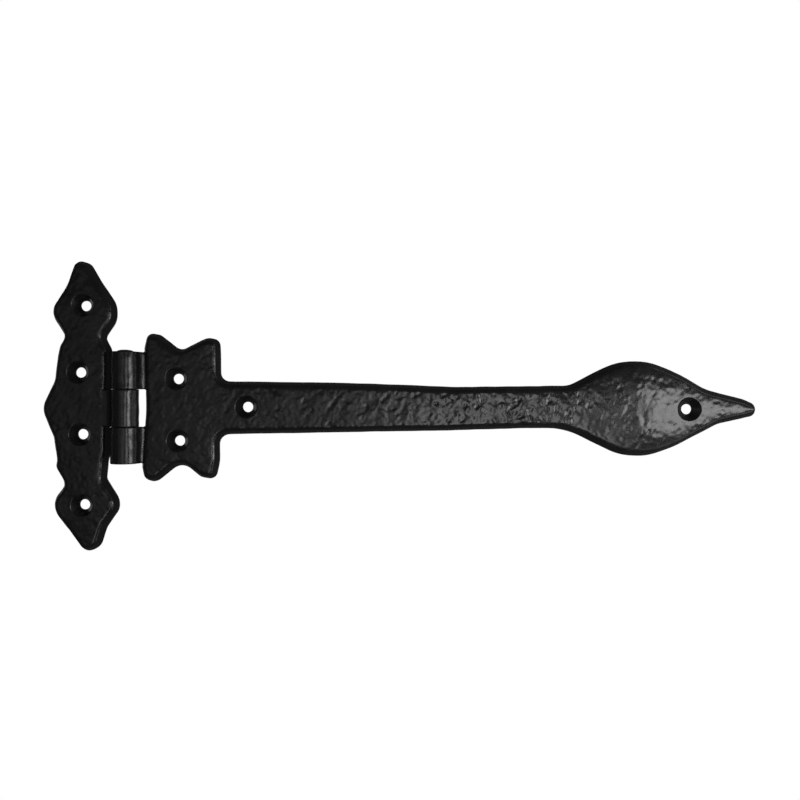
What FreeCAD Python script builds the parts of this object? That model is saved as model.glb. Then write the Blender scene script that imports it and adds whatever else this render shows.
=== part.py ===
import FreeCAD, Part
import math
import os

# A cast-iron tee hinge with a spearhead strap, fixed by eight countersunk wood screws.
# Z runs up along the pin and +X along the strap.  The flat backs of both leaves lie in
# the plane Y = 0, and their worked faces look towards -Y.  The origin is on that plane,
# straight behind the pin, at the middle of the knuckles.  Millimetres throughout.

Vector = FreeCAD.Vector
UP = Vector(0, 0, 1)
FORWARD = Vector(0, -1, 0)

# The two leaves
LEAF_THICKNESS = 5.0
EDGE_ROUND = 2.0

# The pin and its knuckles
PIN_DEPTH = 5.5
PIN_RADIUS = 2.35
RUNNING_CLEARANCE = 0.05
FRAME_KNUCKLE_RADIUS = 5.9
STRAP_KNUCKLE_RADIUS = 5.9
FRAME_KNUCKLE_HALF_LENGTH = 7.9
STRAP_KNUCKLE_INNER_END = 8.2
STRAP_KNUCKLE_TOP = 24.0
STRAP_KNUCKLE_BOTTOM = -23.6
STRAP_WEB_THICKNESS = 2.4
STRAP_WEB_VALLEY_RADIUS = 5.2
FRAME_WEB_THICKNESS = 4.8
FRAME_WEB_VALLEY_RADIUS = 2.2
WEB_REACH = 12.0
PIN_HEAD_RADIUS = 3.4
PIN_HEAD_HEIGHT = 0.9

# The screw holes, for 4 mm (No. 8) countersunk wood screws: (x, z) of each
SCREW_HOLE_RADIUS = 2.2
COUNTERSINK_RADIUS = 4.8
SCREW_HOLE_STRAIGHT = 1.0
FRAME_HOLES = [(-18.2, 44.0), (-20.4, 15.3), (-19.5, -11.3), (-18.7, -41.6)]
STRAP_HOLES = [(21.7, 12.6), (22.3, -14.0), (51.6, 0.45), (240.7, -0.45)]

# The domed face of the spearhead
SPEAR_CENTRE = (216.5, -0.2)
SPEAR_DOME_HALF_LENGTH = 24.0
SPEAR_DOME_HALF_WIDTH = 16.0
SPEAR_DOME_HEIGHT = 1.8

# How far cutters run past the metal that they cut, and how closely a face is found
CUTTER_SPARE = 2.0
TOUCHING = 0.01

# Outlines, as corners (x, z, rounding radius), clockwise from the front
FRAME_LEAF_OUTLINE = [
    (-21.6, 63.0, 2.6),
    (-16.3, 62.5, 4.0),
    (-12.0, 55.0, 20.0),
    (-4.9, 44.4, 9.5),
    (-4.9, 37.7, 9.5),
    (-9.7, 30.4, 2.6),
    (-8.2, 25.0, 6.0),
    (-8.9, -25.0, 8.0),
    (-9.5, -30.4, 3.2),
    (-3.9, -39.2, 7.0),
    (-3.9, -43.6, 6.0),
    (-9.4, -51.4, 8.0),
    (-12.2, -60.6, 5.0),
    (-18.0, -61.2, 4.0),
    (-24.0, -52.8, 30.0),
    (-30.7, -44.4, 9.0),
    (-30.7, -38.9, 6.0),
    (-26.0, -32.5, 3.5),
    (-30.2, -25.2, 4.0),
    (-29.7, -22.0, 5.0),
    (-31.0, -12.6, 8.0),
    (-36.3, -0.3, 9.0),
    (-30.6, 12.2, 8.0),
    (-29.3, 22.5, 6.0),
    (-28.4, 26.8, 5.0),
    (-26.0, 30.6, 2.8),
    (-32.7, 41.2, 7.5),
    (-25.3, 52.5, 20.0),
]
STRAP_LEAF_OUTLINE = [
    (9.0, 32.0, 2.6),
    (13.8, 31.6, 4.0),
    (22.7, 24.5, 5.0),
    (34.8, 30.3, 5.0),
    (39.6, 29.4, 3.0),
    (40.0, 11.5, 3.8),
    (95.0, 10.8, 200.0),
    (143.0, 9.0, 100.0),
    (190.0, 9.6, 10.0),
    (210.0, 19.8, 27.0),
    (222.5, 20.4, 26.0),
    (236.0, 15.2, 60.0),
    (247.8, 8.1, 25.0),
    (265.0, 3.6, 12.0),
    (269.85, 1.0, 2.6),
    (269.3, -2.9, 2.6),
    (264.0, -4.5, 20.0),
    (253.5, -6.7, 15.0),
    (234.5, -16.6, 50.0),
    (222.5, -21.0, 27.0),
    (211.0, -19.9, 26.0),
    (188.0, -8.6, 30.0),
    (172.0, -8.6, 60.0),
    (140.0, -9.6, 300.0),
    (39.4, -11.3, 4.2),
    (39.4, -22.5, 12.0),
    (37.8, -30.9, 2.8),
    (31.8, -29.5, 5.0),
    (23.7, -22.8, 6.5),
    (11.9, -32.0, 3.5),
    (7.6, -30.0, 2.6),
    (6.6, -25.0, 6.0),
    (8.4, 0.0, 60.0),
    (7.5, 25.5, 6.0),
]


def toward(start, end):
    """Unit vector from one point to another."""
    step = end.sub(start)
    return step.multiply(1.0 / step.Length)


def rounded_corner(before, corner, after, radius):
    """Arc of the given radius that blends the two straight runs meeting at a corner."""
    back = toward(corner, before)
    ahead = toward(corner, after)
    half_angle = back.getAngle(ahead) / 2.0
    middle = back.add(ahead)
    middle.normalize()
    tangent = radius / math.tan(half_angle)
    centre = corner.add(middle * (radius / math.sin(half_angle)))
    start = corner.add(back * tangent)
    end = corner.add(ahead * tangent)
    return Part.Arc(start, centre.sub(middle * radius), end).toShape(), start, end


def outline_face(corners):
    """Flat face in the back plane, bounded by a closed outline with rounded corners."""
    points = [Vector(x, 0, z) for x, z, radius in corners]
    count = len(points)
    arcs = []
    for index in range(count):
        before = points[index - 1]
        after = points[(index + 1) % count]
        arcs.append(rounded_corner(before, points[index], after, corners[index][2]))
    edges = []
    for index in range(count):
        arc, start, end = arcs[index]
        next_start = arcs[(index + 1) % count][1]
        edges.append(arc)
        edges.append(Part.LineSegment(end, next_start).toShape())
    return Part.Face(Part.Wire(edges))


def plate(corners):
    """Leaf plate: the outline extruded forward, with the edge of its front rolled over."""
    blank = outline_face(corners).extrude(FORWARD * LEAF_THICKNESS)
    front_edges = [
        edge for edge in blank.Edges
        if abs(edge.BoundBox.YMin + LEAF_THICKNESS) < TOUCHING
        and abs(edge.BoundBox.YMax + LEAF_THICKNESS) < TOUCHING
    ]
    return blank.makeFillet(EDGE_ROUND, front_edges)


def knuckle(radius, side, bottom, top, web_thickness, valley_radius):
    """Barrel round the pin with the web that carries it, on the +X (side 1) or -X side.

    The web's front runs into the barrel through a concave valley, and its back is flush
    with the back of the leaf.
    """
    valley_depth = web_thickness + valley_radius
    valley_x = math.sqrt((radius + valley_radius) ** 2 - (PIN_DEPTH - valley_depth) ** 2)
    axis = Vector(0, -PIN_DEPTH, bottom)
    valley = Vector(side * valley_x, -valley_depth, bottom)
    web_end = Vector(side * valley_x, -web_thickness, bottom)
    barrel_start = axis.add(toward(axis, valley) * radius)
    valley_bend = valley.add(toward(valley, web_end.add(barrel_start) * 0.5) * valley_radius)
    far_front = Vector(side * WEB_REACH, -web_thickness, bottom)
    far_back = Vector(side * WEB_REACH, 0, bottom)
    flat_half = math.sqrt(radius ** 2 - PIN_DEPTH ** 2)
    barrel_end = Vector(-side * flat_half, 0, bottom)
    barrel_bend = axis.add(Vector(-side, 0, 0) * radius)
    edges = [
        Part.LineSegment(far_front, web_end).toShape(),
        Part.Arc(web_end, valley_bend, barrel_start).toShape(),
        Part.Arc(barrel_start, barrel_bend, barrel_end).toShape(),
        Part.LineSegment(barrel_end, far_back).toShape(),
        Part.LineSegment(far_back, far_front).toShape(),
    ]
    return Part.Face(Part.Wire(edges)).extrude(UP * (top - bottom))


def pin_bore(radius):
    """Cutter for the hole that the pin passes through."""
    length = STRAP_KNUCKLE_TOP - STRAP_KNUCKLE_BOTTOM + 2 * CUTTER_SPARE
    base = Vector(0, -PIN_DEPTH, STRAP_KNUCKLE_BOTTOM - CUTTER_SPARE)
    return Part.makeCylinder(radius, length, base, UP)


def screw_hole(x, z):
    """Cutter for one screw hole: straight at the back, widening to the front face."""
    behind = Vector(x, CUTTER_SPARE, z)
    straight_length = CUTTER_SPARE + SCREW_HOLE_STRAIGHT
    straight = Part.makeCylinder(SCREW_HOLE_RADIUS, straight_length, behind, FORWARD)
    cone_length = LEAF_THICKNESS - SCREW_HOLE_STRAIGHT
    flare = (COUNTERSINK_RADIUS - SCREW_HOLE_RADIUS) / cone_length
    cone_base = Vector(x, -SCREW_HOLE_STRAIGHT, z)
    wide_radius = COUNTERSINK_RADIUS + flare * CUTTER_SPARE
    cut_length = cone_length + CUTTER_SPARE
    cone = Part.makeCone(SCREW_HOLE_RADIUS, wide_radius, cut_length, cone_base, FORWARD)
    return straight.fuse(cone)


def spear_dome():
    """Shallow cushion on the face of the spearhead: the front cap of an ellipsoid."""
    sphere = Part.makeSphere(1.0)
    stretch = FreeCAD.Matrix()
    stretch.scale(SPEAR_DOME_HALF_LENGTH, SPEAR_DOME_HEIGHT, SPEAR_DOME_HALF_WIDTH)
    dome = sphere.transformGeometry(stretch)
    dome.translate(Vector(SPEAR_CENTRE[0], -LEAF_THICKNESS, SPEAR_CENTRE[1]))
    return dome


def frame_leaf():
    """Ornamental leaf for the door frame, with the middle knuckle."""
    shape = plate(FRAME_LEAF_OUTLINE)
    barrel = knuckle(FRAME_KNUCKLE_RADIUS, -1, -FRAME_KNUCKLE_HALF_LENGTH, FRAME_KNUCKLE_HALF_LENGTH,
                     FRAME_WEB_THICKNESS, FRAME_WEB_VALLEY_RADIUS)
    shape = shape.fuse(barrel).cut(pin_bore(PIN_RADIUS + RUNNING_CLEARANCE))
    for x, z in FRAME_HOLES:
        shape = shape.cut(screw_hole(x, z))
    return shape.removeSplitter()


def strap_leaf():
    """Long strap for the door, with the two outer knuckles and the domed spearhead."""
    shape = plate(STRAP_LEAF_OUTLINE).fuse(spear_dome())
    upper = knuckle(STRAP_KNUCKLE_RADIUS, 1, STRAP_KNUCKLE_INNER_END, STRAP_KNUCKLE_TOP,
                    STRAP_WEB_THICKNESS, STRAP_WEB_VALLEY_RADIUS)
    lower = knuckle(STRAP_KNUCKLE_RADIUS, 1, STRAP_KNUCKLE_BOTTOM, -STRAP_KNUCKLE_INNER_END,
                    STRAP_WEB_THICKNESS, STRAP_WEB_VALLEY_RADIUS)
    shape = shape.fuse(upper).fuse(lower).cut(pin_bore(PIN_RADIUS))
    for x, z in STRAP_HOLES:
        shape = shape.cut(screw_hole(x, z))
    return shape.removeSplitter()


def hinge_pin():
    """Steel pin, flush below and riveted over into a low round head above."""
    head_base = Vector(0, -PIN_DEPTH, STRAP_KNUCKLE_TOP)
    length = STRAP_KNUCKLE_TOP - STRAP_KNUCKLE_BOTTOM
    shaft = Part.makeCylinder(PIN_RADIUS, length, Vector(0, -PIN_DEPTH, STRAP_KNUCKLE_BOTTOM), UP)
    rim = head_base.add(Vector(PIN_HEAD_RADIUS, 0, 0))
    crown = head_base.add(Vector(0, 0, PIN_HEAD_HEIGHT))
    ball_radius = (PIN_HEAD_RADIUS ** 2 + PIN_HEAD_HEIGHT ** 2) / (2 * PIN_HEAD_HEIGHT)
    ball_centre = crown.sub(UP * ball_radius)
    shoulder = ball_centre.add(toward(ball_centre, rim.add(crown) * 0.5) * ball_radius)
    edges = [
        Part.LineSegment(head_base, rim).toShape(),
        Part.Arc(rim, shoulder, crown).toShape(),
        Part.LineSegment(crown, head_base).toShape(),
    ]
    head = Part.Face(Part.Wire(edges)).revolve(head_base, UP, 360)
    return shaft.fuse(head).removeSplitter()


def main():
    os.makedirs("parts", exist_ok=True)
    pieces = {
        "frame_leaf": frame_leaf(),
        "strap_leaf": strap_leaf(),
        "hinge_pin": hinge_pin(),
    }
    for name, shape in pieces.items():
        shape.exportStep("parts/" + name + ".step")
        box = shape.BoundBox
        print(name, shape.isValid(), len(shape.Solids), round(shape.Volume, 1),
              [round(v, 2) for v in (box.XMin, box.XMax, box.YMin, box.YMax, box.ZMin, box.ZMax)])


main()
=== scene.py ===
import math

import bpy
import numpy as np
from mathutils.geometry import delaunay_2d_cdt
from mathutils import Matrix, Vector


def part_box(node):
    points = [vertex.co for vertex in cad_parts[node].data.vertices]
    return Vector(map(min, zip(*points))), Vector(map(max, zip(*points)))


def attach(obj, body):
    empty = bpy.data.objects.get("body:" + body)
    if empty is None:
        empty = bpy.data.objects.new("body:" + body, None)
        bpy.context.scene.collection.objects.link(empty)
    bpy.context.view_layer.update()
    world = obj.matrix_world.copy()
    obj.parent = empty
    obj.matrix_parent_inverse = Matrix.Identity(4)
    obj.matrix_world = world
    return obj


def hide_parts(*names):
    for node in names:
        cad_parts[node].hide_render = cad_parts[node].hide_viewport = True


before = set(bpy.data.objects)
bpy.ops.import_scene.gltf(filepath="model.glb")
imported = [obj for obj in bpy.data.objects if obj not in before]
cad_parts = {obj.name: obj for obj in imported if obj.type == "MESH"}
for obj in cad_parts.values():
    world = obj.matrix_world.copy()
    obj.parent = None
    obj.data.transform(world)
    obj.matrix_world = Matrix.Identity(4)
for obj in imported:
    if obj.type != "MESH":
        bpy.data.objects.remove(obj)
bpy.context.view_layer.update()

MM = 0.001


# ---------------------------------------------------------------------------------------
# Frame leaf: the ornamental plate that is screwed to the door frame, with the middle
# knuckle.  It is one grey iron casting with drafted sides, rolled front edges and a face
# left uneven, as if hammered, under a satin black coating.  Four countersunk holes fix it.
# ---------------------------------------------------------------------------------------

LEAF_THICKNESS = 5.0 * MM
CAD_EDGE_ROUND = 2.0 * MM
DRAFT = math.radians(20)
EDGE_ROLL = 2.1 * MM
BACK_CORNER = 0.25 * MM
OUTLINE_STEP = 0.42 * MM
DOT_SPACING = 0.2 * MM
FLAT_WITHIN = 0.002 * MM
OUTLINE_WANDER = (0.10 * MM, 7.0 * MM)
HINGE_MIDDLE = np.array([117.0, 3.5]) * MM
FOOT_SPREAD = 0.0087
FOOT_LEAST = 0.18 * MM
FOOT_MOST = 1.3 * MM
FRAME_INNER_FOOT = 1.1 * MM
INNER_FOOT_MIDDLE = 3.0 * MM
INNER_FOOT_HALF = 27.0 * MM
INNER_FOOT_FADE = 6.0 * MM
CROWN_RISE = 0.22 * MM
CROWN_REACH = 9.0 * MM
# The relief of the face is weak over the rolled edge and full from here inwards
EDGE_RELIEF = 0.25
RELIEF_START = 0.6 * MM
RELIEF_WIDTH = 2.6 * MM
# The casting's unevenness: (height, size across) of its swells, facets and skin, and the
# direction, as (x, z) shares, in which the facets and the skin run
BROAD_SWELLS = (0.14 * MM, 10.0 * MM)
FACETS = (0.15 * MM, 3.6 * MM)
SKIN = (0.10 * MM, 1.7 * MM)
SKIN_STRETCH = 0.9
FACETS_RUN = (0.5, 0.87)
# Small marks, in millimetres: their lengths, widths as shares of those, and depths, each
# from least to most, and their leans in degrees by middle and spread
MARK_LENGTHS = (1.6, 5.0)
MARK_WIDTHS = (0.35, 0.7)
MARK_DEPTHS = (0.03, 0.15)
MARK_LEANS = (58, 28)
PLATE_HAMMERING = 0.8

HOLE_RADIUS = 2.2 * MM
HOLE_STRAIGHT = 1.0 * MM
COUNTERSINK_RADIUS = 4.8 * MM
COUNTERSINK_LIP = 0.30 * MM
HOLE_POINTS = 72
# How far a cast hole is from round: as an egg, and as three lobes
HOLE_EGG = 0.02
HOLE_LOBES = 0.012
# Radii of the rings that follow the face and the cone, from the face down to the hole
CONE_RINGS = np.array([6.0, 5.6, 5.3, 5.1, 4.95, 4.8, 4.65, 4.45, 4.1, 3.6, 3.1, 2.65, 2.35]) * MM
# Rings of the straight part and the back: (shares of the hole's radius, of its straight)
STRAIGHT_RINGS = np.array([[1.0, 0.9], [1.0, 0.3], [1.03, 0.08], [1.12, 0.0], [1.5, 0.0]])

RIM_ROWS = 6
ROLL_LAST_TURN = math.radians(46)
RIM_UNDER = 1.3 * MM
FACE_SMOOTHING = 0.35
LATTICE_JITTER = 0.05
LATTICE_SPARE = 0.6
BACK_STEP = 1.5 * MM
BACK_MARGIN = 2.2 * MM
BACK_HOLE_MARGIN = 4.2 * MM
BACK_SAG = 0.02 * MM

KNUCKLE_RADIUS = 5.9 * MM
PIN_DEPTH = 5.5 * MM
PIN_BORE = 2.35 * MM
KNUCKLE_STEP = 0.42 * MM
KNUCKLE_CORNER = 0.35 * MM
KNUCKLE_BACK = 0.06 * MM
KNUCKLE_SWELLS = (0.14 * MM, 6.0 * MM)
KNUCKLE_SKIN = (0.07 * MM, 3.2 * MM)
KNUCKLE_EVEN_BELOW = 1.5 * MM
KNUCKLE_EVEN_FADE = 2.0 * MM
HOLLOW_POINTS = 24
BARREL_POINTS = 80
# The leaning barrel's brow and shoulder: (height, angle from the front, width in degrees)
BROW = (0.25, 3, 24)
SHOULDER = (-1, 60, 25)
BORE_CORNER = 0.25 * MM
END_CONE = 0.2 * MM
END_CONE_REACH = 3.0 * MM
SEAM_FILLET = 1.3 * MM
SEAM_SMOOTHING = 0.7
SEAM_PASSES = 16

COATING_DARK = (0.010, 0.010, 0.0098, 1)
COATING_PALE = (0.017, 0.017, 0.0166, 1)
# Paler grey painted on edges that stand out: partly rubbed wear, partly a painted sheen where edges
# catch the light
WEAR_AND_SHEEN_GREY = (0.07, 0.067, 0.062, 1)
WEAR_AND_SHEEN_START = 0.10
WEAR_AND_SHEEN_SPAN = 0.5


def swells(x, z, size, seed):
    """Smooth random swells about one size across, from about -1 to 1.

    Every corner of a square lattice has a slope drawn from the seed, and a point blends
    the four planes around it by the fade 6t^5 - 15t^4 + 10t^3.
    """
    tile = 128
    slopes = np.random.default_rng(seed).normal(size=(tile, tile, 2))
    u, v = x / size, z / size
    column, row = np.floor(u).astype(int), np.floor(v).astype(int)
    u, v = u - column, v - row

    def plane(right, up):
        slope = slopes[(column + right) % tile, (row + up) % tile]
        return slope[..., 0] * (u - right) + slope[..., 1] * (v - up)

    fade_u = u ** 3 * (6 * u * u - 15 * u + 10)
    fade_v = v ** 3 * (6 * v * v - 15 * v + 10)
    below = plane(0, 0) * (1 - fade_u) + plane(1, 0) * fade_u
    above = plane(0, 1) * (1 - fade_u) + plane(1, 1) * fade_u
    return below * (1 - fade_v) + above * fade_v


def smooth_step(t):
    """0 below t = 0 and 1 above t = 1, turning smoothly between them: 3t^2 - 2t^3."""
    t = np.clip(t, 0.0, 1.0)
    return t * t * (3 - 2 * t)


def plane_loops(node, level):
    """Outlines, as (x, z) rows, of a CAD node's flat face at y = level, widest first.

    The triangles with all corners at that level are kept.  An edge that only one of them
    has lies on an outline, and such edges are followed head to tail.
    """
    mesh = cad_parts[node].data
    points = np.empty(len(mesh.vertices) * 3)
    mesh.vertices.foreach_get("co", points)
    corners = np.empty(len(mesh.loops), dtype=int)
    mesh.loops.foreach_get("vertex_index", corners)
    points, merged = np.unique(np.round(points.reshape(-1, 3), 7), axis=0, return_inverse=True)
    triangles = merged.reshape(-1)[corners.reshape(-1, 3)]
    flat = np.all(np.abs(points[triangles][:, :, 1] - level) < FLAT_WITHIN, axis=1)
    triangles = triangles[flat]
    edges = np.concatenate([triangles[:, [0, 1]], triangles[:, [1, 2]], triangles[:, [2, 0]]])
    there = edges @ [len(points), 1]
    back = edges @ [1, len(points)]
    onward = dict(edges[~np.isin(there, back)].tolist())
    loops = []
    while onward:
        start, here = onward.popitem()
        loop = [start]
        while here != start:
            loop.append(here)
            here = onward.pop(here)
        loops.append(points[loop][:, [0, 2]])
    return sorted(loops, key=lambda loop: -np.ptp(loop[:, 0]))


def evenly(loop, step):
    """A closed outline with its points spread evenly, about one step apart."""
    closed = np.vstack([loop, loop[:1]])
    run = np.concatenate([[0.0], np.cumsum(np.hypot(*np.diff(closed, axis=0).T))])
    places = np.linspace(0.0, run[-1], round(run[-1] / step), endpoint=False)
    return np.column_stack([np.interp(places, run, closed[:, i]) for i in (0, 1)])


def softened(loop, passes):
    """A closed outline averaged with its neighbours, by quarter, half, quarter, some times."""
    for _ in range(passes):
        loop = loop / 2 + (np.roll(loop, 1, axis=0) + np.roll(loop, -1, axis=0)) / 4
    return loop


def outward(loop):
    """Unit normals that point out of an anticlockwise outline."""
    along = softened(np.roll(loop, -1, axis=0) - np.roll(loop, 1, axis=0), 2)
    normal = np.column_stack([along[:, 1], -along[:, 0]])
    return normal / np.linalg.norm(normal, axis=1, keepdims=True)


def leaf_outline(node, inner_foot, seed):
    """The outline of a leaf at its back: the CAD front face's outline moved out by the
    width of its rounded edge.  The foot of the drafted side spreads a little, in proportion
    to how far an edge faces away from the hinge's middle, with an inner foot more where it
    faces the knuckles, and it wanders as a pattern that was dressed by hand.
    """
    inner = softened(evenly(plane_loops(node, -LEAF_THICKNESS)[0], OUTLINE_STEP / 4), 8)
    loop = evenly(inner + outward(inner) * CAD_EDGE_ROUND, OUTLINE_STEP)
    normals = outward(loop)
    spread = FOOT_SPREAD * np.sum(normals * (loop - HINGE_MIDDLE), axis=1)
    wander = OUTLINE_WANDER[0] * swells(loop[:, 0], loop[:, 1], OUTLINE_WANDER[1], seed)
    off_middle = np.abs(loop[:, 1] - INNER_FOOT_MIDDLE)
    beside_knuckles = smooth_step((INNER_FOOT_HALF - off_middle) / INNER_FOOT_FADE)
    spread = np.clip(spread, FOOT_LEAST, FOOT_MOST)
    spread += inner_foot * beside_knuckles * np.clip(normals[:, 0], 0.0, 1.0)
    shift = softened(spread, 6) + wander
    return evenly(loop + normals * shift[:, None], OUTLINE_STEP)


def rolled_edge(inset):
    """Height of a leaf's front at a distance in from its outline.

    The side leans in by the draft angle, then turns over along an arc tangent to the side
    and to the flat face.
    """
    side_top = LEAF_THICKNESS - EDGE_ROLL * (1 - math.sin(DRAFT))
    side_width = side_top * math.tan(DRAFT)
    arc_middle = side_width + EDGE_ROLL * math.cos(DRAFT)
    side = inset / math.tan(DRAFT)
    reach = np.clip(arc_middle - inset, 0.0, EDGE_ROLL)
    arc = LEAF_THICKNESS - EDGE_ROLL + np.sqrt(EDGE_ROLL ** 2 - reach ** 2)
    return np.where(inset < side_width, side, arc)


def crown(inset, reach):
    """The swell of a face, 0 at its outline and 1 beyond the reach: 1 - (1 - inset/reach)^2."""
    return 1 - np.clip(1 - inset / reach, 0.0, 1.0) ** 2


def low_crown(x, z, inset):
    """A nearly flat face: full height in the middle, and slightly lower towards its edges."""
    return CROWN_RISE * (crown(inset, CROWN_REACH) - 1)


def tool_marks(x, z, marks):
    """Depth of the hollows that the hammer left.

    Each mark is an ellipse (x, z, length, width, lean in degrees, depth): its depth falls
    off as (1 - q)^2 from its middle, where q = 1 is the ellipse.  Marks that cross are
    joined as the root of the sum of their squares.
    """
    total = np.zeros_like(x)
    for mark_x, mark_z, length, width, lean, depth in marks:
        near = np.hypot(x - mark_x * MM, z - mark_z * MM) < max(length, width) / 2 * MM
        over, up = x[near] - mark_x * MM, z[near] - mark_z * MM
        c, s = math.cos(math.radians(lean)), math.sin(math.radians(lean))
        along = (over * c + up * s) / (length / 2 * MM)
        across = (up * c - over * s) / (width / 2 * MM)
        total[near] += (depth * MM * np.clip(1 - along ** 2 - across ** 2, 0.0, 1.0) ** 2) ** 2
    return np.sqrt(total)


def light_hammering(x):
    """How strongly a face is hammered, from 0 to 1: the plates only lightly."""
    return np.full_like(x, PLATE_HAMMERING)


def scattered_marks(low, high, count, seed):
    """Small marks strewn over a box of the face, in tool_marks form, in millimetres."""
    draw = np.random.default_rng(seed)
    places = draw.uniform(low, high, (count, 2))
    lengths = draw.uniform(*MARK_LENGTHS, count)
    widths = lengths * draw.uniform(*MARK_WIDTHS, count)
    leans = draw.normal(*MARK_LEANS, count)
    depths = draw.uniform(*MARK_DEPTHS, count)
    return np.column_stack([places, lengths, widths, leans, depths]).tolist()


def face_unevenness(x, z, seed):
    """The casting's own unevenness: broad swells, hammered facets and a fine skin."""
    along = FACETS_RUN[0] * x + FACETS_RUN[1] * z
    across = FACETS_RUN[1] * x - FACETS_RUN[0] * z
    broad = BROAD_SWELLS[0] * swells(x, z, BROAD_SWELLS[1], seed)
    facets = FACETS[0] * swells(across, along, FACETS[1], seed + 1)
    skin = SKIN[0] * swells(across, SKIN_STRETCH * along, SKIN[1], seed + 2)
    return broad + facets + skin


def hole_height(x, z, centre):
    """Height of the countersink's cone, continued past its rim, round one hole's centre."""
    radius = np.hypot(x - centre[0], z - centre[1])
    slope = (LEAF_THICKNESS - HOLE_STRAIGHT) / (COUNTERSINK_RADIUS - HOLE_RADIUS)
    return HOLE_STRAIGHT + (radius - HOLE_RADIUS) * slope


def lower_of(first, second, blend):
    """The lower of two heights, with the crease between them rounded over one blend."""
    gap = np.clip(1 - np.abs(first - second) / blend, 0.0, 1.0)
    return np.minimum(first, second) - gap ** 3 * blend / 6


def distance_to(points, loop):
    """Each point's distance to an outline, taken as a fine row of dots."""
    dots = evenly(loop, DOT_SPACING)
    square = np.empty(len(points))
    for part in np.array_split(np.arange(len(points)), len(points) // 1500 + 1):
        gap = points[part, None, :] - dots[None, :, :]
        square[part] = np.min(gap[..., 0] ** 2 + gap[..., 1] ** 2, axis=1)
    return np.sqrt(square)


def lattice(loop, holes, step, margin, hole_margin, seed):
    """Points of a triangular lattice that lie inside an outline and outside its holes."""
    low, high = loop.min(axis=0), loop.max(axis=0)
    columns = np.arange(low[0], high[0], step)
    rows = np.arange(low[1], high[1], step * math.sqrt(3) / 2)
    x, z = np.meshgrid(columns, rows)
    x = x + (np.arange(len(rows)) % 2)[:, None] * step / 2
    points = np.column_stack([x.ravel(), z.ravel()])
    points += np.random.default_rng(seed).normal(size=points.shape) * step * LATTICE_JITTER
    after = np.roll(loop, -1, axis=0)
    crossings = np.zeros(len(points), dtype=int)
    for part in np.array_split(np.arange(len(points)), len(points) // 3000 + 1):
        px, pz = points[part, 0][:, None], points[part, 1][:, None]
        spans = (loop[:, 1] > pz) != (after[:, 1] > pz)
        rise = np.where(spans, after[:, 1] - loop[:, 1], 1.0)
        meets = loop[:, 0] + (pz - loop[:, 1]) * (after[:, 0] - loop[:, 0]) / rise
        crossings[part] = np.sum(spans & (px < meets), axis=1)
    points = points[crossings % 2 == 1]
    points = points[distance_to(points, loop) > margin]
    for centre in holes:
        points = points[np.hypot(*(points - centre).T) > hole_margin]
    return points


def ring_quads(first, rows, columns):
    """Faces between the rows of a closed grid whose points are numbered row by row."""
    row, column = np.meshgrid(np.arange(rows - 1), np.arange(columns), indexing="ij")
    here = first + row * columns + column
    beside = first + row * columns + (column + 1) % columns
    return np.stack([here, beside, beside + columns, here + columns], axis=-1).reshape(-1, 4)


def filled(points, loops):
    """Triangles, anticlockwise, of the region inside the first loop and outside the rest.

    Loops are rows of indices into the points; the other points lie inside the region.  A
    triangle with all its corners on one inner loop fills a hole, and is left out.
    """
    edges = np.concatenate([np.column_stack([loop, np.roll(loop, -1)]) for loop in loops])
    answer = delaunay_2d_cdt(points.tolist(), edges.tolist(), [], 1, 1e-9)
    if len(answer[0]) != len(points):
        raise ValueError("an outline crosses itself")
    triangles = np.array(answer[2])
    hole = np.arange(len(points))
    for number, loop in enumerate(loops[1:]):
        hole[loop] = -1 - number
    sides = hole[triangles]
    return triangles[(sides[:, 0] != sides[:, 1]) | (sides[:, 1] != sides[:, 2])]


def neighbour_mean(values, edges, count):
    """Mean of each point's neighbours' values, along the mesh's edges."""
    ends = np.concatenate([edges[:, 1], edges[:, 0]])
    starts = np.concatenate([edges[:, 0], edges[:, 1]])
    number = np.bincount(starts, minlength=count)
    sums = [np.bincount(starts, values[ends, i], minlength=count) for i in range(values.shape[1])]
    return np.stack(sums, axis=1) / np.maximum(number, 1)[:, None]


def mesh_object(name, points, faces):
    """A shaded-smooth object from points and a list of face arrays."""
    mesh = bpy.data.meshes.new(name)
    mesh.from_pydata(points.tolist(), [], [row for group in faces for row in group.tolist()])
    mesh.validate()
    mesh.polygons.foreach_set("use_smooth", np.ones(len(mesh.polygons), dtype=bool))
    made = bpy.data.objects.new(name, mesh)
    bpy.context.scene.collection.objects.link(made)
    return made


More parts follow.
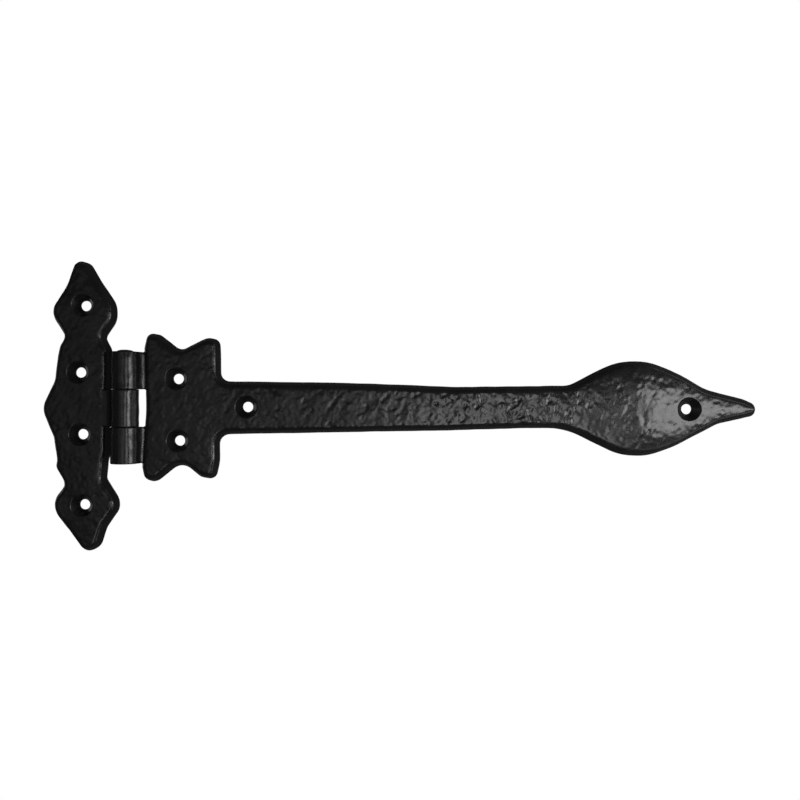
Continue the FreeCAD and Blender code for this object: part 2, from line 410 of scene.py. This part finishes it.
def cast_leaf(name, node, inner_foot, marks, bulge, hammering, step, seed):
    """The plate of one leaf.

    Its front is a height over (x, z): the rolled edge by distance from the outline, plus
    the bulge, less the tool marks and unevenness, cut down to the countersinks' cones.
    The rim is a grid of the outline by the edge's section, each hole is a grid of a circle
    by its section, and the front and back are lattices between those grids.
    """
    outline = leaf_outline(node, inner_foot, seed)
    normals = outward(outline)
    loops = plane_loops(node, 0.0)
    holes = [(loop.min(axis=0) + loop.max(axis=0)) / 2 for loop in loops
             if np.ptp(loop[:, 0]) < 3 * HOLE_RADIUS]

    def front(x, z, inset):
        relief = EDGE_RELIEF + (1 - EDGE_RELIEF) * smooth_step((inset - RELIEF_START) / RELIEF_WIDTH)
        height = rolled_edge(inset) + bulge(x, z, inset)
        height += relief * hammering(x) * (face_unevenness(x, z, seed) - tool_marks(x, z, marks))
        for centre in holes:
            height = lower_of(height, hole_height(x, z, centre), COUNTERSINK_LIP)
        return height

    side_top = LEAF_THICKNESS - EDGE_ROLL * (1 - math.sin(DRAFT))
    turns = np.linspace(math.pi / 2 - DRAFT, ROLL_LAST_TURN, RIM_ROWS)
    side = np.linspace(BACK_CORNER, side_top, RIM_ROWS)[:-1]
    roll = side_top * math.tan(DRAFT) + EDGE_ROLL * (math.cos(DRAFT) - np.sin(turns))
    under = [RIM_UNDER, 2 * BACK_CORNER, 0.7 * BACK_CORNER]
    insets = np.concatenate([under, side * math.tan(DRAFT), roll])
    heights = np.concatenate([[0.0, 0.0, 0.3 * BACK_CORNER], side])
    rim = outline[None] - normals[None] * insets[:, None, None]
    depth = np.empty(rim.shape[:2])
    start = len(heights)
    roll_insets = np.repeat(roll[:, None], len(outline), axis=1)
    depth[start:] = front(rim[start:, :, 0], rim[start:, :, 1], roll_insets)
    depth[:start] = heights[:, None] * depth[start] / side_top
    points = [np.stack([rim[..., 0], -depth, rim[..., 1]], axis=-1).reshape(-1, 3)]
    faces = [ring_quads(0, len(insets), len(outline))]
    total = len(insets) * len(outline)
    back_loops = [np.arange(len(outline))]
    front_loops = [total - len(outline) + np.arange(len(outline))]

    around = np.linspace(0, 2 * math.pi, HOLE_POINTS, endpoint=False)
    for centre in holes:
        egg, lobes = np.sin(around + centre[0] / MM), np.sin(3 * around + centre[1] / MM)
        uneven = 1 + HOLE_EGG * egg + HOLE_LOBES * lobes
        ring = CONE_RINGS[:, None] * uneven
        x = centre[0] + ring * np.cos(around)
        z = centre[1] + ring * np.sin(around)
        inset = distance_to(np.column_stack([x.ravel(), z.ravel()]), outline).reshape(x.shape)
        height = np.maximum(front(x, z, inset), HOLE_STRAIGHT)
        ring = STRAIGHT_RINGS[:, 0, None] * HOLE_RADIUS * uneven
        x = np.vstack([x, centre[0] + ring * np.cos(around)])
        z = np.vstack([z, centre[1] + ring * np.sin(around)])
        below = np.repeat(STRAIGHT_RINGS[:, 1, None] * HOLE_STRAIGHT, HOLE_POINTS, axis=1)
        height = np.vstack([height, below])
        points.append(np.stack([x, -height, z], axis=-1).reshape(-1, 3))
        faces.append(ring_quads(total, len(x), HOLE_POINTS))
        front_loops.append(total + np.arange(HOLE_POINTS))
        total += x.size
        back_loops.append(total - HOLE_POINTS + np.arange(HOLE_POINTS))

    spare = LATTICE_SPARE * step
    face_points = lattice(outline, holes, step, roll[-1] + spare, CONE_RINGS[0] + spare, seed)
    inset = distance_to(face_points, outline)
    height = front(face_points[:, 0], face_points[:, 1], inset)
    points.append(np.column_stack([face_points[:, 0], -height, face_points[:, 1]]))
    front_rows = np.concatenate(front_loops + [total + np.arange(len(face_points))])
    total += len(face_points)
    back_points = lattice(outline, holes, BACK_STEP, BACK_MARGIN, BACK_HOLE_MARGIN, seed)
    sag = BACK_SAG * (swells(back_points[:, 0], back_points[:, 1], 2 * BACK_STEP, seed) - 1.5)
    points.append(np.column_stack([back_points[:, 0], np.minimum(sag, 0), back_points[:, 1]]))
    back_rows = np.concatenate(back_loops + [total + np.arange(len(back_points))])
    points = np.vstack(points)

    for rows, loops, turned in ((front_rows, front_loops, False), (back_rows, back_loops, True)):
        starts = np.cumsum([0] + [len(loop) for loop in loops])
        local = [np.arange(start, start + len(loop)) for start, loop in zip(starts, loops)]
        triangles = rows[filled(points[rows][:, [0, 2]], local)]
        faces.append(triangles[:, ::-1] if turned else triangles)
        if not turned:
            free = np.zeros(len(points), dtype=bool)
            free[rows[starts[-1]:]] = True
            edges = np.concatenate([triangles[:, [0, 1]], triangles[:, [1, 2]]])
            mean = neighbour_mean(points[:, 1:2], edges, len(points))
            points[free, 1] += FACE_SMOOTHING * (mean[free, 0] - points[free, 1])
    return mesh_object(name, points, faces)


def knuckle_section(side, lean, web, valley):
    """Closed section, as (x, y) rows, of a barrel and the web that carries it.

    The web's front is given as (x, height) rows from its far end.  From it a hollow arc of
    the valley's radius climbs to the barrel, which runs round to the flat back.  The lean
    raises a brow near the barrel's front and flattens its right shoulder, both as bell
    curves of the angle.
    """
    web = np.array(web) * MM
    valley_height = web[-1, 1] + valley
    valley_x = math.sqrt((KNUCKLE_RADIUS + valley) ** 2 - (PIN_DEPTH - valley_height) ** 2)
    meeting = math.atan2(valley_height - PIN_DEPTH, valley_x)
    hollow = np.linspace(-math.pi / 2, meeting - math.pi, HOLLOW_POINTS) % (2 * math.pi)
    flat_angle = math.asin(PIN_DEPTH / KNUCKLE_RADIUS)
    barrel = np.linspace(meeting, math.pi + flat_angle, BARREL_POINTS)
    turn = np.degrees(side * (math.pi / 2 - barrel))
    brow, shoulder = (height * np.exp(-((turn - angle) / width) ** 2)
                      for height, angle, width in (BROW, SHOULDER))
    swell = 1 + lean * (brow + shoulder)
    x = np.concatenate([
        web[:, 0],
        valley_x + valley * np.cos(hollow),
        KNUCKLE_RADIUS * swell * np.cos(barrel),
        web[:1, 0],
    ])
    height = np.concatenate([
        web[:, 1],
        valley_height + valley * np.sin(hollow),
        PIN_DEPTH + KNUCKLE_RADIUS * swell * np.sin(barrel),
        [0.0],
    ])
    loop = evenly(np.column_stack([side * x, -np.maximum(height, KNUCKLE_BACK)]), KNUCKLE_STEP)
    return softened(loop, 1)


def knuckle(name, section, bottom, top, cones, seed):
    """A knuckle's section carried along Z, with rounded ends and a bore for the pin.

    The ends that bear on each other are slightly coned: away from the bore, such an end
    moves by the cones (for the bottom and the top), in proportion to the radius.  The
    barrel stands proud or shy by the casting's unevenness, worked out over the distance
    round the section and the height.
    """
    if section[0, 0] > 0:
        section = section[::-1]
    turns = np.linspace(0, math.pi / 2, 5)
    tucks = KNUCKLE_CORNER * (1 - np.sin(turns))
    drops = KNUCKLE_CORNER * (1 - np.cos(turns))
    middle_rows = round((top - bottom) / KNUCKLE_STEP)
    middle = np.linspace(bottom + KNUCKLE_CORNER, top - KNUCKLE_CORNER, middle_rows)
    heights = np.concatenate([bottom + drops[:-1], middle, (top - drops[:-1])[::-1]])
    tucks = np.concatenate([tucks[:-1], np.zeros(len(middle)), tucks[:-1][::-1]])
    normals = outward(section)
    run, rise = (np.arange(len(section)) * KNUCKLE_STEP)[None, :], heights[:, None]
    uneven = KNUCKLE_SWELLS[0] * swells(run, rise, KNUCKLE_SWELLS[1], seed)
    uneven += KNUCKLE_SKIN[0] * swells(run, rise, KNUCKLE_SKIN[1], seed + 1)
    uneven *= smooth_step((-section[:, 1] - KNUCKLE_EVEN_BELOW) / KNUCKLE_EVEN_FADE)
    grid = section[None] - normals[None] * tucks[:, None, None] + normals[None] * uneven[..., None]
    rows, columns = len(heights), len(section)
    radius = np.hypot(grid[..., 0], grid[..., 1] + PIN_DEPTH)
    share = np.clip((radius - PIN_BORE) / (KNUCKLE_RADIUS - PIN_BORE), 0.0, 1.0)
    z = np.repeat(heights[:, None], columns, axis=1)
    z += cones[0] * share * smooth_step(1 - (z - bottom) / END_CONE_REACH)
    z += cones[1] * share * smooth_step(1 - (top - z) / END_CONE_REACH)
    points = [np.stack([grid[..., 0], grid[..., 1], z], axis=-1).reshape(-1, 3)]
    faces = [ring_quads(0, rows, columns)]

    around = np.linspace(0, 2 * math.pi, HOLE_POINTS // 2, endpoint=False)
    bore_rings = [(top, BORE_CORNER), (top - BORE_CORNER, 0.0),
                  (bottom + BORE_CORNER, 0.0), (bottom, BORE_CORNER)]
    for height, flare in bore_rings:
        radius = PIN_BORE + flare
        circle = [radius * np.cos(around), -PIN_DEPTH + radius * np.sin(around)]
        points.append(np.column_stack(circle + [np.full(len(around), height)]))
    bore_first = rows * columns
    faces.append(ring_quads(bore_first, len(bore_rings), len(around)))
    points = np.vstack(points)
    ends = ((columns * (rows - 1), bore_first, False),
            (0, bore_first + (len(bore_rings) - 1) * len(around), True))
    for outer_first, inner_first, turned in ends:
        outer, inner = outer_first + np.arange(columns), inner_first + np.arange(len(around))
        indices = np.concatenate([outer, inner])
        local = [np.arange(columns), columns + np.arange(len(around))]
        triangles = indices[filled(points[indices][:, :2], local)]
        faces.append(triangles[:, ::-1] if turned else triangles)
    return mesh_object(name, points, faces)


def read_points(made):
    """The points of an object's mesh, as rows."""
    points = np.empty(len(made.data.vertices) * 3)
    made.data.vertices.foreach_get("co", points)
    return points.reshape(-1, 3)


def joined(leaf, parts):
    """The leaf united with its knuckles, and the line where they meet smoothed to a fillet.

    Points that neither mesh had before lie on that line.  Points near it drift towards
    their neighbours' mean, the more the nearer they are.
    """
    for part in parts:
        before = np.vstack([read_points(leaf), read_points(part)])
        union = leaf.modifiers.new("union", "BOOLEAN")
        union.operation = "UNION"
        union.solver = "EXACT"
        union.object = part
        bpy.context.view_layer.update()
        depsgraph = bpy.context.evaluated_depsgraph_get()
        mesh = bpy.data.meshes.new_from_object(leaf.evaluated_get(depsgraph))
        leaf.modifiers.clear()
        leaf.data = mesh
        bpy.data.objects.remove(part)
        points = read_points(leaf)
        keys = [np.round(rows / (0.001 * MM)).astype(np.int64) @ [1, 10 ** 6, 10 ** 12]
                for rows in (points, before)]
        seam = points[~np.isin(*keys)]
        close = np.all((points > seam.min(axis=0) - SEAM_FILLET)
                       & (points < seam.max(axis=0) + SEAM_FILLET), axis=1)
        near = np.zeros(len(points))
        gaps = np.linalg.norm(points[close][:, None] - seam[None], axis=2).min(axis=1)
        near[close] = SEAM_SMOOTHING * smooth_step(1 - gaps / SEAM_FILLET)
        edges = np.empty(len(mesh.edges) * 2, dtype=int)
        mesh.edges.foreach_get("vertices", edges)
        edges = edges.reshape(-1, 2)
        for _ in range(SEAM_PASSES):
            mean = neighbour_mean(points, edges, len(points))
            points += near[:, None] * (mean - points)
        points[:, 1] = np.minimum(points[:, 1], 0.0)
        mesh.vertices.foreach_set("co", points.ravel())
        mesh.update()
    return leaf


def black_coating(name, seed):
    """Satin black baked coating over cast iron.

    The colour drifts a little in broad clouds; the gloss varies in patches; the bump is an
    orange peel with a finer grain; edges that stand out are painted paler, as rubbed wear and as a
    painted sheen.
    """
    material = bpy.data.materials.new(name)
    material.use_nodes = True
    nodes, links = material.node_tree.nodes, material.node_tree.links
    shader = nodes["Principled BSDF"]
    place = nodes.new("ShaderNodeTexCoord")
    shift = nodes.new("ShaderNodeMapping")
    shift.inputs["Location"].default_value = (seed * 0.13, seed * 0.07, 0.0)
    links.new(place.outputs["Object"], shift.inputs["Vector"])

    def noise(scale, detail, roughness=0.5):
        texture = nodes.new("ShaderNodeTexNoise")
        texture.inputs["Scale"].default_value = scale
        texture.inputs["Detail"].default_value = detail
        texture.inputs["Roughness"].default_value = roughness
        links.new(shift.outputs["Vector"], texture.inputs["Vector"])
        return texture.outputs["Fac"]

    def spread(value, low, high, to_low, to_high):
        scaled = nodes.new("ShaderNodeMapRange")
        scaled.inputs["From Min"].default_value = low
        scaled.inputs["From Max"].default_value = high
        scaled.inputs["To Min"].default_value = to_low
        scaled.inputs["To Max"].default_value = to_high
        links.new(value, scaled.inputs["Value"])
        return scaled.outputs["Result"]

    clouds = nodes.new("ShaderNodeValToRGB")
    clouds.color_ramp.elements[0].position = 0.35
    clouds.color_ramp.elements[0].color = COATING_DARK
    clouds.color_ramp.elements[1].position = 0.68
    clouds.color_ramp.elements[1].color = COATING_PALE
    links.new(noise(160, 4), clouds.inputs["Fac"])
    # Edges that stand out are painted paler grey in random patches: rubbed wear and a painted sheen
    wear_and_sheen = nodes.new("ShaderNodeAttribute")
    wear_and_sheen.attribute_name = "wear_and_sheen"
    wear_and_sheen_mask = nodes.new("ShaderNodeMath")
    wear_and_sheen_mask.operation = "MULTIPLY"
    links.new(wear_and_sheen.outputs["Fac"], wear_and_sheen_mask.inputs[0])
    links.new(spread(noise(900, 3), 0.5, 0.72, 0.0, 1.0), wear_and_sheen_mask.inputs[1])
    colour = nodes.new("ShaderNodeMix")
    colour.data_type = "RGBA"
    links.new(wear_and_sheen_mask.outputs["Value"], colour.inputs[0])
    links.new(clouds.outputs["Color"], colour.inputs[6])
    colour.inputs[7].default_value = WEAR_AND_SHEEN_GREY
    links.new(colour.outputs[2], shader.inputs["Base Color"])

    links.new(spread(noise(260, 5, 0.6), 0.3, 0.7, 0.18, 0.29), shader.inputs["Roughness"])
    shader.inputs["IOR"].default_value = 1.5
    peel = nodes.new("ShaderNodeBump")
    peel.inputs["Strength"].default_value = 0.35
    peel.inputs["Distance"].default_value = 0.05 * MM
    links.new(noise(1300, 2), peel.inputs["Height"])
    grain = nodes.new("ShaderNodeBump")
    grain.inputs["Strength"].default_value = 0.25
    grain.inputs["Distance"].default_value = 0.015 * MM
    links.new(noise(5200, 2), grain.inputs["Height"])
    links.new(peel.outputs["Normal"], grain.inputs["Normal"])
    links.new(grain.outputs["Normal"], shader.inputs["Normal"])
    return material


def coat(made, material):
    """Gives an object its coating, and says in an attribute how far each point stands out: there the
    coating is painted paler, as rubbed wear and as a painted sheen on edges.

    A point stands out by the drop from it to its neighbours' mean, along its normal.
    """
    mesh = made.data
    mesh.materials.clear()
    mesh.materials.append(material)
    points = read_points(made)
    normals = np.empty(len(points) * 3)
    mesh.vertex_normals.foreach_get("vector", normals)
    edges = np.empty(len(mesh.edges) * 2, dtype=int)
    mesh.edges.foreach_get("vertices", edges)
    edges = edges.reshape(-1, 2)
    spans = np.linalg.norm(points[edges[:, 0]] - points[edges[:, 1]], axis=1)
    pairs = np.concatenate([edges, edges[:, ::-1]])
    mean = neighbour_mean(points, edges, len(points))
    width = np.bincount(pairs[:, 0], np.tile(spans, 2), minlength=len(points))
    width /= np.maximum(np.bincount(pairs[:, 0], minlength=len(points)), 1)
    drop = np.sum((points - mean) * normals.reshape(-1, 3), axis=1) / np.maximum(width, 1e-7) ** 2
    drop = neighbour_mean(drop[:, None], edges, len(points))[:, 0]
    # How much paler the coating is painted here, as rubbed wear and a painted sheen on edges that
    # stand out
    wear_and_sheen = smooth_step((drop * MM - WEAR_AND_SHEEN_START) / WEAR_AND_SHEEN_SPAN)
    attribute = mesh.attributes.new("wear_and_sheen", "FLOAT", "POINT")
    attribute.data.foreach_set("value", wear_and_sheen.astype(np.float32))


FRAME_STEP = 0.38 * MM
FRAME_KNUCKLE_HALF = 8.12 * MM
FRAME_LEAN = 0.07
# The middle knuckle's web comes out level with the plate's face: (x, height) in millimetres
FRAME_WEB = [(13.8, 4.1), (12.4, 4.62), (11.0, 4.8)]
FRAME_VALLEY = 2.2 * MM
frame_marks = scattered_marks((-36, -61), (-4, 62), 60, 11)
frame_plate = cast_leaf("frame_plate", "frame_leaf", FRAME_INNER_FOOT, frame_marks, low_crown,
                        light_hammering, FRAME_STEP, 3)
frame_section = knuckle_section(-1, FRAME_LEAN, FRAME_WEB, FRAME_VALLEY)
frame_knuckle = knuckle("frame_knuckle", frame_section, -FRAME_KNUCKLE_HALF, FRAME_KNUCKLE_HALF,
                        (END_CONE, -END_CONE), 21)
frame_plate = joined(frame_plate, [frame_knuckle])
coat(frame_plate, black_coating("black_iron_frame", 1))
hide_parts("frame_leaf")
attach(frame_plate, "frame_side")


# ---------------------------------------------------------------------------------------
# Strap leaf: the long strap that is screwed to the door, with the two outer knuckles, a
# flared head, a slim arm and a spearhead whose face is domed.  It is cast like the frame
# leaf, and its arm and spearhead carry the plainest hammer marks.
# ---------------------------------------------------------------------------------------

SPEAR_START = 181.0 * MM
SPEAR_CREST = 218.5 * MM
SPEAR_END = 262.0 * MM
SPEAR_RISE = 1.3 * MM
SPEAR_CROWN = 2.2 * MM
SPEAR_REACH = 15.0 * MM
TIP_START = 236.0 * MM
TIP_BLEND = 12.0 * MM
TIP_RISE = 0.7 * MM
TIP_REACH = 8.0 * MM
# How the hammering changes along the strap: (start, width, change), the first two in mm
HAMMERING_CHANGES = [(35, 30, 0.2), (120, 25, 0.35), (184, 24, -0.7)]
# The outer knuckles' webs lie lower than the plate: (x, height) in millimetres
STRAP_WEB = [(12.0, 2.4)]
STRAP_VALLEY = 5.2 * MM
STRAP_STEP = 0.37 * MM
STRAP_GAP = 8.24 * MM
STRAP_KNUCKLE_TOP = 24.0 * MM


def spear_bulge(x, z, inset):
    """The low crown of the arm, and over the spearhead a dome.

    Along the strap the dome climbs evenly to a crest and falls by a cosine to the tip.
    Across it the face drops towards its edges by a crown that deepens up to the crest, and
    past the last hole it drops more steeply from a ridge.
    """
    climb = np.clip((x - SPEAR_START) / (SPEAR_CREST - SPEAR_START), 0.0, 1.0)
    fall = np.clip((x - SPEAR_CREST) / (SPEAR_END - SPEAR_CREST), 0.0, 1.0)
    along = climb * (0.5 + 0.5 * np.cos(math.pi * fall))
    tip = smooth_step((x - TIP_START) / TIP_BLEND)
    drop = SPEAR_CROWN * along * (crown(inset, SPEAR_REACH) - 1)
    drop += TIP_RISE * tip * (crown(inset, TIP_REACH) - 1)
    return low_crown(x, z, inset) + SPEAR_RISE * along + drop


def arm_hammering(x):
    """The strap's head is hammered lightly, the arm harder on, the spearhead's tip lightly."""
    strength = light_hammering(x)
    for start, width, change in HAMMERING_CHANGES:
        strength = strength + change * smooth_step((x - start * MM) / (width * MM))
    return strength


# The marks that show most: (x, z, length, width, lean in degrees, depth) in millimetres
ARM_MARKS = [
    (54, -5, 2.8, 2.1, 50, 0.14),
    (65, 0, 3.9, 2.3, 55, 0.17),
    (76, 3, 4.4, 2.6, 60, 0.21),
    (79.5, -1, 3.3, 2.3, 55, 0.18),
    (88.5, 2, 11.6, 3.1, 50, 0.26),
    (103, 1, 2.4, 2.3, 0, 0.23),
    (110, 3.7, 5.5, 2.6, 40, 0.18),
    (130, -2.7, 2.6, 2.1, 50, 0.17),
    (132.5, 2, 2.6, 2.6, 0, 0.26),
    (138, 2.8, 5, 2.6, 15, 0.18),
    (138, -5.3, 3.3, 2.3, 45, 0.17),
    (145, 1, 3.9, 2.3, 60, 0.17),
    (150, 0.3, 4.4, 2.9, 60, 0.21),
    (166, 1.5, 11, 3.4, 43, 0.3),
    (173, -0.6, 3.9, 2.6, 55, 0.23),
    (181, 3, 4.4, 3.1, 60, 0.26),
    (189, -1.4, 5, 3.4, 60, 0.26),
    (198, 1.3, 5, 3.6, 65, 0.29),
    (204.5, -10, 5.5, 3.1, 60, 0.26),
    (211, 8.6, 5, 3.4, 55, 0.26),
    (214, -0.6, 6.1, 3.9, 60, 0.3),
    (218, -16, 4.4, 2.9, 50, 0.21),
    (225, 6, 3.9, 2.6, 50, 0.23),
    (221, -6, 4.4, 2.9, 55, 0.26),
    (225.5, -10.5, 3.9, 2.6, 70, 0.23),
    (234, -7.7, 3.9, 2.1, 50, 0.18),
    (251.5, 2.5, 6.6, 2.6, 10, 0.17),
    (255, -1.4, 2.6, 2.3, 40, 0.21),
]
strap_marks = ARM_MARKS + scattered_marks((7, -31), (268, 31), 260, 12)
strap_plate = cast_leaf("strap_plate", "strap_leaf", 0.0, strap_marks, spear_bulge,
                        arm_hammering, STRAP_STEP, 5)
pin_low, pin_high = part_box("hinge_pin")
strap_section = knuckle_section(1, 0.0, STRAP_WEB, STRAP_VALLEY)
upper_knuckle = knuckle("upper_knuckle", strap_section, STRAP_GAP, STRAP_KNUCKLE_TOP,
                        (-END_CONE, 0.0), 22)
lower_knuckle = knuckle("lower_knuckle", strap_section, pin_low.z, -STRAP_GAP,
                        (0.0, END_CONE), 23)
strap_plate = joined(strap_plate, [upper_knuckle, lower_knuckle])
coat(strap_plate, black_coating("black_iron_strap", 2))
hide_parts("strap_leaf")
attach(strap_plate, "strap_side")


# ---------------------------------------------------------------------------------------
# Hinge pin: a round steel pin pressed through the outer knuckles and free in the middle
# one.  Its foot is cut flush, and its upper end is riveted over into a low round head.
# ---------------------------------------------------------------------------------------

PIN_SHANK = 2.33 * MM
PIN_CHAMFER = 0.2 * MM
PIN_FOOT = 1.6 * MM
PIN_AROUND = 64
SHANK_END = STRAP_KNUCKLE_TOP - 0.1 * MM
HEAD_ROWS = 12
HEAD_SHIFT = 0.2 * MM
HEAD_OVAL = 0.04
HEAD_LOBES = 0.03
AXIS_RADIUS = 1e-7


def riveted_pin(name):
    """A lathe form: radius and height along its section, turned about the pin's axis.

    The head is a low dome, a quarter ellipse in section, that stands to one side of the
    axis as the hammer left it.  Its radius changes by a sine of twice the turn and a cosine
    of three times the turn.
    """
    turns = np.linspace(math.pi / 2, 0, HEAD_ROWS)[:-1]
    head = pin_high.x * np.sin(turns)
    rise = (pin_high.z - STRAP_KNUCKLE_TOP) * np.cos(turns)
    shank = [AXIS_RADIUS, PIN_FOOT, PIN_SHANK - PIN_CHAMFER, PIN_SHANK, PIN_SHANK]
    radius = np.concatenate([shank, head, [AXIS_RADIUS]])
    height = np.concatenate([
        [pin_low.z, pin_low.z, pin_low.z, pin_low.z + PIN_CHAMFER, SHANK_END],
        STRAP_KNUCKLE_TOP + rise,
        [pin_high.z],
    ])
    around = np.linspace(0, 2 * math.pi, PIN_AROUND, endpoint=False)
    on_head = (height >= STRAP_KNUCKLE_TOP)[:, None]
    dents = 1 + HEAD_OVAL * np.sin(2 * around) + HEAD_LOBES * np.cos(3 * around)
    ring = radius[:, None] * np.where(on_head, dents, 1.0)
    x = ring * np.cos(around) + on_head * HEAD_SHIFT
    y = -PIN_DEPTH + ring * np.sin(around)
    z = np.repeat(height[:, None], PIN_AROUND, axis=1)
    points = np.stack([x, y, z], axis=-1).reshape(-1, 3)
    quads = ring_quads(0, len(radius), PIN_AROUND)
    foot = np.arange(PIN_AROUND)[None, ::-1]
    top = (len(radius) - 1) * PIN_AROUND + np.arange(PIN_AROUND)[None]
    return mesh_object(name, points, [quads, foot, top])


pin = riveted_pin("riveted_pin")
coat(pin, black_coating("black_pin", 3))
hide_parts("hinge_pin")
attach(pin, "strap_side")


# ---------------------------------------------------------------------------------------
# Studio: a plain white surround and floor, a soft panel at the right with a weaker one
# below it and a tall one beyond, dim glows in front and weak fills behind.  The camera
# stands in front of the strap, straight on and about level with the pin's middle.
# ---------------------------------------------------------------------------------------

CAMERA_PLACE = (0.1172, -0.345, 0.00346)
CAMERA_HALF_VIEW = math.radians(26.64)
PANEL_NEAR = np.array([0.285, -0.2225])
PANEL_FAR = np.array([0.62, -0.10])
PANEL_MIDDLE = -0.013
PANEL_HEIGHT = 0.105
PANEL_RADIANCE = 6.0
LOW_MIDDLE = -0.25
LOW_HEIGHT = 0.18
LOW_RADIANCE = 0.6
PANEL_SPLIT = 0.65
TALL_HEIGHT = 1.1
TALL_RADIANCE = 1.3
SURROUND_DIM = 0.05
# Dim front glows: (left, right, back, bottom, top, radiance), brighter towards the right
FRONT_GLOWS = [
    (-0.69, -0.28, -1.2, -0.34, 0.26, 0.14),
    (-0.28, -0.12, -1.2, -0.28, 0.12, 0.26),
    (-0.12, -0.03, -1.2, -0.30, 0.12, 0.38),
    (-0.03, 0.07, -1.2, -0.34, 0.12, 0.64),
    (0.07, 0.17, -1.2, -0.40, 0.12, 1.0),
    (0.138, 0.179, -0.3, -0.13, 0.045, 2.3),
    (0.179, 0.220, -0.3, -0.13, 0.045, 3.3),
    (0.42, 0.56, -1.2, -0.20, 0.12, 0.3),
    (0.10, 0.40, -1.2, -0.80, -0.40, 2.6),
]
# Weak fills: (name, place, point it faces, width and height, radiance)
FILLS = [
    ("back_fill", (0.1, 0.7, 0.0), (0.1, 0.0, 0.0), 0.6, 0.8),
    ("left_fill", (-0.8, 0.35, 0.0), (0.0, 0.0, 0.0), 0.5, 0.5),
]
FLOOR_LEVEL = -0.168
FLOOR_REACH = 4.0


def soft_panel(name, place, towards, width, height, radiance):
    """A flat soft light, as wide and high as said, that faces a point."""
    light = bpy.data.lights.new(name, "AREA")
    light.shape = "RECTANGLE"
    light.size = width
    light.size_y = height
    light.energy = radiance * width * height * math.pi
    made = bpy.data.objects.new(name, light)
    bpy.context.scene.collection.objects.link(made)
    made.location = place
    heading = np.array(towards) - np.array(place)
    made.rotation_euler = (math.pi / 2, 0.0, math.atan2(heading[1], heading[0]) - math.pi / 2)
    made.visible_camera = False
    return made


split = PANEL_NEAR + PANEL_SPLIT * (PANEL_FAR - PANEL_NEAR)
for start, end, level, height, radiance in (
        (PANEL_NEAR, split, PANEL_MIDDLE, PANEL_HEIGHT, PANEL_RADIANCE),
        (PANEL_NEAR, split, LOW_MIDDLE, LOW_HEIGHT, LOW_RADIANCE),
        (split, PANEL_FAR, 0.0, TALL_HEIGHT, TALL_RADIANCE)):
    across = end - start
    middle = (start + end) / 2
    facing = middle + np.array([-across[1], across[0]])
    soft_panel("side_panel", (*middle, level), (*facing, 0.0), np.hypot(*across), height, radiance)
for left, right, back, bottom, top, radiance in FRONT_GLOWS:
    place = ((left + right) / 2, back, (bottom + top) / 2)
    soft_panel("front_glow", place, (place[0], 0.0, 0.0), right - left, top - bottom, radiance)
for name, place, towards, size, radiance in FILLS:
    soft_panel(name, place, towards, size, size, radiance)

world = bpy.data.worlds.new("surround")
bpy.context.scene.world = world
world.use_nodes = True
nodes, links = world.node_tree.nodes, world.node_tree.links
seen = nodes.new("ShaderNodeLightPath")
shade = nodes.new("ShaderNodeMix")
shade.data_type = "RGBA"
shade.inputs[6].default_value = (SURROUND_DIM, SURROUND_DIM, SURROUND_DIM, 1)
shade.inputs[7].default_value = (1, 1, 1, 1)
links.new(seen.outputs["Is Camera Ray"], shade.inputs[0])
links.new(shade.outputs[2], nodes["Background"].inputs["Color"])

floor_mesh = bpy.data.meshes.new("floor")
floor_mesh.from_pydata(
    [(-FLOOR_REACH, -FLOOR_REACH, FLOOR_LEVEL), (FLOOR_REACH, -FLOOR_REACH, FLOOR_LEVEL),
     (FLOOR_REACH, FLOOR_REACH, FLOOR_LEVEL), (-FLOOR_REACH, FLOOR_REACH, FLOOR_LEVEL)],
    [], [(0, 1, 2, 3)])
floor = bpy.data.objects.new("floor", floor_mesh)
bpy.context.scene.collection.objects.link(floor)
paper = bpy.data.materials.new("white_paper")
paper.use_nodes = True
glow = paper.node_tree.nodes.new("ShaderNodeEmission")
glow.inputs["Color"].default_value = (1, 1, 1, 1)
glow.inputs["Strength"].default_value = 1.0
output = paper.node_tree.nodes["Material Output"]
paper.node_tree.links.new(glow.outputs["Emission"], output.inputs["Surface"])
floor_mesh.materials.append(paper)
floor.visible_diffuse = False
floor.visible_glossy = False
floor.visible_shadow = False

camera = bpy.data.cameras.new("camera")
camera.sensor_width = 36.0
camera.lens = camera.sensor_width / 2 / math.tan(CAMERA_HALF_VIEW)
camera.clip_start = 0.01
viewer = bpy.data.objects.new("camera", camera)
bpy.context.scene.collection.objects.link(viewer)
viewer.location = CAMERA_PLACE
viewer.rotation_euler = (math.pi / 2, 0.0, 0.0)
bpy.context.scene.camera = viewer
bpy.context.scene.view_settings.view_transform = "Standard"
